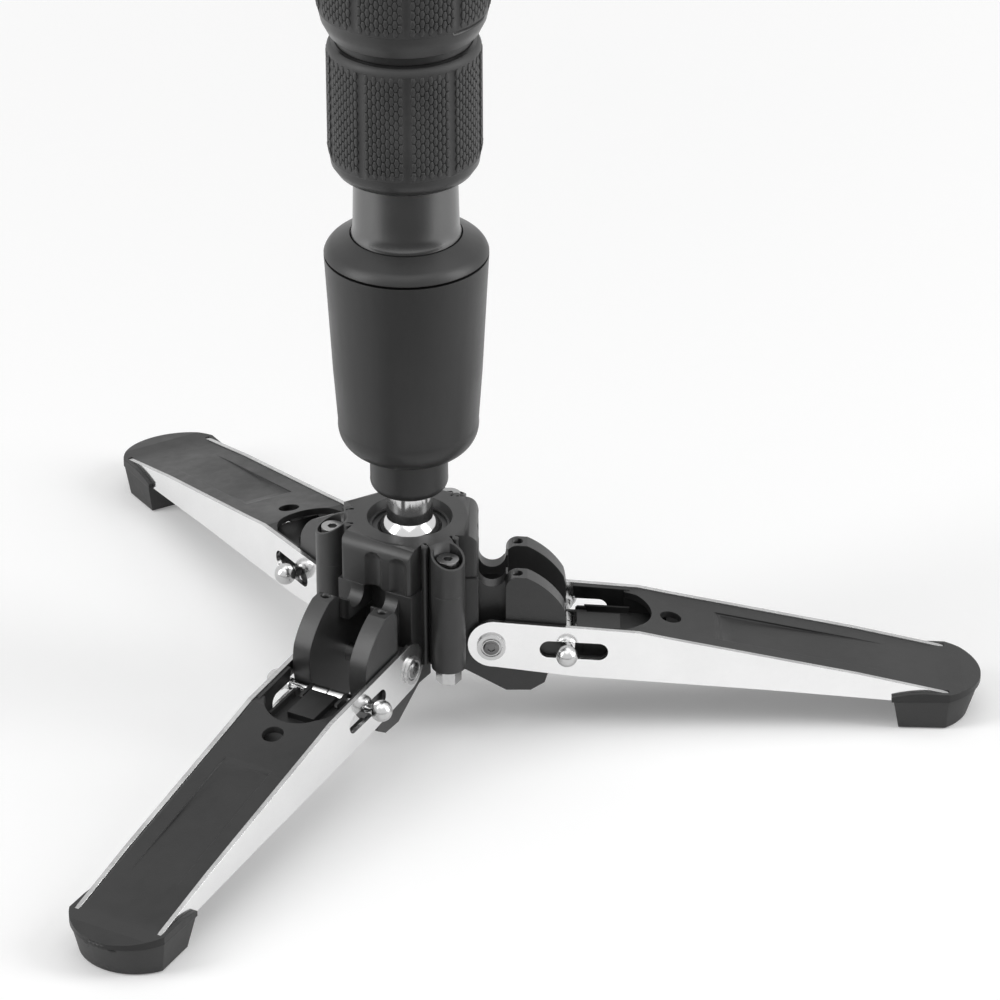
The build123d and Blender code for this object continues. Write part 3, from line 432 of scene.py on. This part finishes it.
def dressed(node):
    """The CAD piece itself, joined and smooth, in its finish."""
    slot = slot_of[node]
    piece = new_piece(node + "_dressed", joined_mesh(node), duller.get(node, finishes[slot]))
    return placed(piece, slot, body_of[node], node)


def plate(node, azimuth):
    """A polished side plate with duller sheared edges all round."""
    broadside = 0.7
    piece = dressed(node)
    piece.data.materials.append(sheared_edge)
    side = Vector((-math.sin(math.radians(azimuth)), math.cos(math.radians(azimuth)), 0))
    for face in piece.data.polygons:
        if abs(face.normal.dot(side)) < broadside:
            face.material_index = 1


# Geometry made by rule
def rule_tree(name, inputs):
    """An empty geometry tree with its named inputs, and its two ends."""
    tree = bpy.data.node_groups.new(name, "GeometryNodeTree")
    tree.interface.new_socket("Geometry", in_out="INPUT", socket_type="NodeSocketGeometry")
    for label, kind in inputs:
        tree.interface.new_socket(label, in_out="INPUT", socket_type=kind)
    tree.interface.new_socket("Geometry", in_out="OUTPUT", socket_type="NodeSocketGeometry")
    return tree, *tree_ends(tree)


def grown(tree, base, values):
    """The mesh that a tree makes of a base mesh with the given inputs."""
    carrier = linked("carrier", base)
    modifier = carrier.modifiers.new("rule", "NODES")
    modifier.node_group = tree
    for item in tree.interface.items_tree:
        if item.in_out == "INPUT" and item.name in values:
            modifier[item.identifier] = values[item.name]
    return made_plain(carrier)


def cell_rule():
    """Long six-sided cells in staggered columns on panels round a sleeve, each set on the sleeve's skin."""
    tree, graph, given, out = rule_tree("rubber_cells", [
        ("Panels", "NodeSocketInt"), ("Columns", "NodeSocketInt"), ("Cells", "NodeSocketInt"),
        ("Column Pitch", "NodeSocketFloat"), ("Cell Height", "NodeSocketFloat"), ("Low", "NodeSocketFloat"),
        ("First Panel", "NodeSocketFloat"), ("Radius", "NodeSocketFloat"), ("Lift", "NodeSocketFloat"),
        ("Rubber", "NodeSocketMaterial")])
    outside_skin, ray_length = 4 * MM, 20 * MM
    top_share, half_width_share, half_height_share = 0.74, 0.65, 0.57
    panels, columns, cells, radius = (given[label] for label in ("Panels", "Columns", "Cells", "Radius"))

    # Which cell of which column of which panel a point is
    number = graph.times(graph.times(panels, columns), cells)
    points = graph.add("GeometryNodePoints", number).outputs[0]
    index = graph.add("GeometryNodeInputIndex").outputs[0]
    cell = graph.math("MODULO", index, cells)
    stack = graph.math("FLOOR", graph.over(index, cells))
    column = graph.math("MODULO", stack, columns)
    panel = graph.math("FLOOR", graph.over(stack, columns))
    odd = graph.math("MODULO", column, 2)

    # Its place round the sleeve and up it
    offset = graph.minus(graph.plus(column, 0.5), graph.over(columns, 2))
    across = graph.over(graph.times(offset, given["Column Pitch"]), radius)
    round_to_panel = graph.times(graph.over(panel, panels), 2 * math.pi)
    angle = graph.plus(graph.plus(round_to_panel, given["First Panel"]), across)
    steps = graph.plus(cell, graph.times(graph.plus(odd, 1), 0.5))
    height = graph.plus(given["Low"], graph.times(steps, given["Cell Height"]))

    # Its seat on the skin, found along a ray from outside; a spare point has none
    outward = graph.point(graph.math("COSINE", angle), graph.math("SINE", angle), 0)
    beside = graph.scaled(outward, graph.plus(radius, outside_skin))
    ray = graph.add("GeometryNodeRaycast", named={
        "Target Geometry": given["Geometry"], "Ray Direction": graph.scaled(outward, -1.0),
        "Source Position": graph.vector("ADD", beside, graph.point(0, 0, height)), "Ray Length": ray_length})
    past_top = graph.math("GREATER_THAN", graph.plus(graph.plus(cell, odd), 0.5), cells)
    spare = graph.math("MAXIMUM", past_top, graph.minus(1, ray.outputs["Is Hit"]))
    caught = graph.add("GeometryNodeCaptureAttribute", points)
    for kind, label in (("VECTOR", "seat"), ("VECTOR", "facing"), ("FLOAT", "spare")):
        caught.capture_items.new(kind, label)
    graph.feed(caught.inputs[1], ray.outputs["Hit Position"])
    graph.feed(caught.inputs[2], ray.outputs["Hit Normal"])
    graph.feed(caught.inputs[3], spare)
    all_points, seat, facing, is_spare = (caught.outputs[k] for k in range(4))
    kept = graph.add("GeometryNodeDeleteGeometry", all_points, is_spare, domain="POINT").outputs[0]
    kept = graph.add("GeometryNodeSetPosition", kept, named={"Position": seat}).outputs[0]
    turn = None
    for pivot in "ZY":
        turn = graph.add("FunctionNodeAlignRotationToVector", turn, named={"Vector": facing},
                         axis="X", pivot_axis=pivot).outputs[0]

    # Its shape: a low six-sided stub, lying on its side
    stub = graph.add("GeometryNodeMeshCone", fill_type="NGON", named={
        "Vertices": 6, "Side Segments": 1, "Fill Segments": 1, "Radius Top": top_share, "Radius Bottom": 1.0,
        "Depth": 2.0}).outputs[0]
    half_width = graph.times(given["Column Pitch"], half_width_share)
    half_height = graph.times(given["Cell Height"], half_height_share)
    size = graph.point(given["Lift"], half_width, half_height)
    for change in ({"Rotation": (0, 0, math.pi / 2)}, {"Rotation": (0, math.pi / 2, 0)}, {"Scale": size}):
        stub = graph.add("GeometryNodeTransform", stub, named=change).outputs[0]
    smooth = graph.add("GeometryNodeSetShadeSmooth", stub).outputs[0]
    stubs = graph.add("GeometryNodeInstanceOnPoints", kept, named={"Instance": smooth, "Rotation": turn})
    both = graph.add("GeometryNodeJoinGeometry")
    graph.feed(both.inputs[0], graph.add("GeometryNodeRealizeInstances", stubs.outputs[0]).outputs[0])
    graph.feed(both.inputs[0], given["Geometry"])
    dressed_all = graph.add("GeometryNodeSetMaterial", both.outputs[0], named={"Material": given["Rubber"]})
    graph.feed(out["Geometry"], dressed_all.outputs[0])
    return tree


def coil_rule():
    """A coil of round wire, standing on the floor plane."""
    tree, graph, given, out = rule_tree("wire_coil", [
        ("Turns", "NodeSocketFloat"), ("Coil Radius", "NodeSocketFloat"), ("Length", "NodeSocketFloat"),
        ("Wire Radius", "NodeSocketFloat"), ("Wire", "NodeSocketMaterial")])
    spiral = graph.add("GeometryNodeCurveSpiral", named={
        "Resolution": 24, "Rotations": given["Turns"], "Start Radius": given["Coil Radius"],
        "End Radius": given["Coil Radius"], "Height": given["Length"]})
    section = graph.add("GeometryNodeCurvePrimitiveCircle", named={
        "Resolution": 8, "Radius": given["Wire Radius"]})
    wire = graph.add("GeometryNodeCurveToMesh", spiral.outputs[0], named={
        "Profile Curve": section.outputs[0], "Fill Caps": True})
    smooth = graph.add("GeometryNodeSetShadeSmooth", wire.outputs[0]).outputs[0]
    real = graph.add("GeometryNodeRealizeInstances", smooth).outputs[0]
    steel = graph.add("GeometryNodeSetMaterial", real, named={"Material": given["Wire"]})
    graph.feed(out["Geometry"], steel.outputs[0])
    return tree


cell_tree, coil_tree = cell_rule(), coil_rule()


def celled_grip(name):
    """The rubber of a lock: smooth flutes, and between them panels of long six-sided cells."""
    node = f"{name}_lock_grip"
    low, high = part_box(node)
    panels, first_panel, flute, lift = 10, math.radians(39), 2.5 * MM, 0.11 * MM
    foot_rim, head_rim, cell_width, cell_height = 0.5 * MM, 2.3 * MM, 1.38 * MM, 3.1 * MM
    radius, start, end = high[1], low[2] + foot_rim, high[2] - head_rim
    panel = 2 * math.pi * radius / panels - flute
    columns, cells = round(panel / cell_width), round((end - start) / cell_height)
    mesh = grown(cell_tree, joined_mesh(node), {
        "Panels": panels, "Columns": columns, "Cells": cells, "Column Pitch": panel / columns,
        "Cell Height": (end - start) / cells, "Low": start, "First Panel": first_panel, "Radius": radius,
        "Lift": lift, "Rubber": finishes["lock_rubber"],
    })
    piece = new_piece(node + "_celled", mesh, finishes["lock_rubber"])
    return placed(piece, "lock_rubber", body_of[node], node)


def coil_spring(leg):
    """A wound spring from the pin's carriage to the rib of the spine."""
    node = f"{leg}_return_spring"
    low, high = (Vector(corner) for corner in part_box(node))
    along, middle = Vector(joint_of[f"pin_slide_{leg}"]["axis"]), (low + high) / 2
    turns, wire, radius, length, travel = 9.0, 0.35 * MM, 2.4 * MM, 13.4 * MM, 10.5 * MM
    mesh = grown(coil_tree, bpy.data.meshes.new("coil_base"), {
        "Turns": turns, "Coil Radius": radius - wire, "Length": length - 2 * wire, "Wire Radius": wire,
        "Wire": finishes["spring_steel"]})
    turn = along.to_track_quat("Z", "Y").to_matrix().to_4x4()
    mesh.transform(Matrix.Translation(middle - along * (length / 2 - wire)) @ turn)
    piece = new_piece(node + "_coil", mesh, finishes["spring_steel"])
    placed(piece, "spring_steel", body_of[node], node)
    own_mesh(piece)


# Closed bodies from rings of points
def ring(work, radii, height, place=Matrix()):
    """A level ring of points round an upright axis, from the radius at each even step round it."""
    points = []
    for k, radius in enumerate(radii):
        angle = 2 * math.pi * k / len(radii)
        point = Vector((radius * math.cos(angle), radius * math.sin(angle), height))
        points.append(work.verts.new(place @ point))
    return points


def skin(work, rings):
    """Faces from each ring of points to the next, and across the first and the last; a pole is one point."""
    steps = max(len(points) for points in rings)
    for near, far in zip(rings, rings[1:]):
        for k in range(steps):
            after = (k + 1) % steps
            corners = [near[k % len(near)], near[after % len(near)], far[after % len(far)], far[k % len(far)]]
            work.faces.new(list(dict.fromkeys(corners)))
    for cap in (rings[0][::-1], rings[-1]):
        if len(cap) > 1:
            work.faces.new(cap)


def closed_mesh(work, place=Matrix()):
    """The mesh of closed bodies in their place, all faces outward."""
    bmesh.ops.recalc_face_normals(work, faces=work.faces)
    mesh = bpy.data.meshes.new("closed_body")
    work.to_mesh(mesh)
    work.free()
    mesh.transform(place)
    return mesh


def revolved(name, profile, material, place=Matrix(), segments=64):
    """A closed body of revolution from radii and heights in millimetres, its first and last on the axis."""
    work = bmesh.new()
    counted = [(radius, height, segments if radius else 1) for radius, height in profile]
    skin(work, [ring(work, [radius * MM] * count, height * MM) for radius, height, count in counted])
    mesh = closed_mesh(work, place)
    rounded(mesh, 35)
    return new_piece(name, mesh, material)


def arc(radius, centre, first, last, steps=24):
    """Points of a circle on the axis, between two angles up from its equator."""
    angles = [math.radians(first + (last - first) * k / steps) for k in range(steps + 1)]
    return [(radius * math.cos(angle), centre + radius * math.sin(angle)) for angle in angles]


def ball_stud():
    """The chrome ball, flat below, with its neck and the spindle in the column's foot."""
    low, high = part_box("ball_stud")
    radius, bottom, top = high[0] / MM, low[2] / MM, high[2] / MM
    centre, neck, spindle = joint_of["ball_turn"]["pos_m"][2] / MM, 7.3, 5.0
    neck_top = centre + 22.7
    first = math.degrees(math.asin((bottom - centre) / radius))
    last = math.degrees(math.acos(neck / radius))
    profile = [(0, bottom), *arc(radius, centre, first, last)]
    profile += [(neck, neck_top), (spindle, neck_top), (spindle, top), (0, top)]
    piece = revolved("ball_stud_turned", profile, finishes["chrome_steel"])
    return placed(piece, "chrome_steel", body_of["ball_stud"], "ball_stud")


def lock_pin(leg, azimuth):
    """The cross pin of a leg, with a round polished knob at each end."""
    node = f"{leg}_lock_pin"
    low, high = (Vector(corner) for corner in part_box(node))
    core, sleeve, shank, knob = 1.2, 2.1, 2.0, 3.5
    groove, sleeve_end, shank_start, knob_centre = 0.25, 5.5, 13.9, 19.05
    join = math.degrees(math.acos(shank / knob))
    half = [(core, groove), (sleeve, groove), (sleeve, sleeve_end), (core, sleeve_end)]
    half += [(core, shank_start), (shank, shank_start)]
    half += arc(knob, knob_centre, -join, 90)[:-1] + [(0, knob_centre + knob)]
    profile = [(radius, -height) for radius, height in half[::-1]] + half
    across = Matrix.Rotation(math.radians(azimuth), 4, "Z") @ Matrix.Rotation(math.pi / 2, 4, "X")
    place = Matrix.Translation((low + high) / 2) @ across
    piece = revolved(node + "_turned", profile, plain_steel, place, segments=48)
    return placed(piece, "chrome_steel", body_of[node], node)


def carriage_cheeks(leg, azimuth):
    """The two thin webs that carry a lock pin's arms and close the slots behind the side plates."""
    outline = [(26.7, 1.6), (27.3, 2.2), (30, 2.2), (30, -6.2), (28.3, -6.2), (26.7, -4.4)]
    inside, outside = 8.9, 9.7
    work = bmesh.new()
    for sides in ((-outside, -inside), (inside, outside)):
        skin(work, [[work.verts.new((a * MM, side * MM, h * MM)) for a, h in outline] for side in sides])
    pivot = Matrix.Translation(joint_of[f"fold_{leg}"]["pos_m"])
    drop = math.asin(-joint_of[f"pin_slide_{leg}"]["axis"][2])
    along = Matrix.Rotation(math.radians(azimuth), 4, "Z") @ Matrix.Rotation(drop, 4, "Y")
    piece = new_piece(f"{leg}_carriage_cheeks", closed_mesh(work, pivot @ along), finishes["spine_plastic"])
    return placed(piece, "spine_plastic", body_of[f"{leg}_pin_carriage"])


def threaded_stud():
    """The camera stud, with the ridge of its thread wound round it."""
    low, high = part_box("camera_stud")
    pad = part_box("platform_pad")[1][2]
    outside, depth, pitch = 4.74 * MM, 0.55 * MM, 25.4 * MM / 16
    head, root, chamfer, neck = high[0], 6.0 * MM, 0.3 * MM, low[2] + 4 * MM
    segments, rows_per_turn = 48, 8
    start, end = pad + 0.3 * MM, high[2] - 0.9 * MM
    rows = int((end - start) / pitch * rows_per_turn)

    def thread(height):
        """The radii of the wound ridge at a height; it fades at both ends."""
        fade = min(1, (height - start) / pitch, (end - height) / pitch)
        phases = [((height - start) / pitch - k / segments) % 1 for k in range(segments)]
        return [outside - depth + depth * fade * (1 - abs(2 * phase - 1)) for phase in phases]

    plain = [(head - chamfer, low[2]), (head, low[2] + chamfer), (head, neck), (root, neck), (root, pad),
             (outside - depth, pad)]
    heights = [start + (end - start) * k / rows for k in range(rows + 1)]
    levels = [([radius] * segments, height) for radius, height in plain]
    levels += [(thread(height), height) for height in heights]
    levels += [([outside - 2 * depth] * segments, high[2])]
    work = bmesh.new()
    skin(work, [ring(work, radii, height) for radii, height in levels])
    mesh = closed_mesh(work)
    rounded(mesh, 40)
    piece = new_piece("camera_stud_threaded", mesh, finishes["chrome_steel"])
    return placed(piece, "chrome_steel", body_of["camera_stud"], "camera_stud")


def hexagon(radius, steps):
    """The radii of a hexagon at even steps round it."""
    sectors = [(2 * math.pi * k / steps + math.pi / 6) % (math.pi / 3) - math.pi / 6 for k in range(steps)]
    return [radius * math.cos(math.pi / 6) / math.cos(sector) for sector in sectors]


def socket_heads():
    """The dark button heads with their six-sided sockets, sunk in the ends of the pivot barrels."""
    half_span, segments = 16.5 * MM, 36
    radius, dome, socket, deep = 2.75, 0.45, 1.35, 0.5
    dome_profile = [(radius, -0.65), (radius, -0.1), (radius * 0.86, dome - 0.16), (radius * 0.66, dome)]
    levels = [([r * MM] * segments, height * MM) for r, height in dome_profile]
    levels += [(hexagon(socket * MM, segments), height * MM) for height in (dome, dome - deep)]
    work = bmesh.new()
    for leg, azimuth in leg_azimuths.items():
        pivot = Matrix.Translation(joint_of[f"fold_{leg}"]["pos_m"])
        for side in (-1, 1):
            outward = Matrix.Rotation(-side * math.pi / 2, 4, "X")
            turn = Matrix.Rotation(math.radians(azimuth), 4, "Z") @ outward
            place = pivot @ turn @ Matrix.Translation((0, 0, half_span))
            skin(work, [ring(work, radii, height, place) for radii, height in levels])
    mesh = closed_mesh(work)
    rounded(mesh, 32)
    piece = new_piece("pivot_socket_heads", mesh, black_oxide)
    return placed(piece, "chrome_steel", body_of["leg_pivot_pins"])


# The monopod, piece by piece
made_anew = [f"{name}_lock_grip" for name in lock_names] + ["camera_stud", "ball_stud"]
made_anew += [f"{leg}_{piece}" for leg in leg_azimuths for piece in ("return_spring", "lock_pin")]
plates = {}
for leg, azimuth in leg_azimuths.items():
    plates[f"{leg}_side_plate_left"] = azimuth
    plates[f"{leg}_side_plate_right"] = azimuth

for node in nodes:
    if node in plates:
        plate(node, plates[node])
    elif node not in made_anew:
        dressed(node)
for name in lock_names:
    celled_grip(name)
for leg, azimuth in leg_azimuths.items():
    coil_spring(leg)
    lock_pin(leg, azimuth)
    carriage_cheeks(leg, azimuth)
ball_stud()
threaded_stud()
socket_heads()
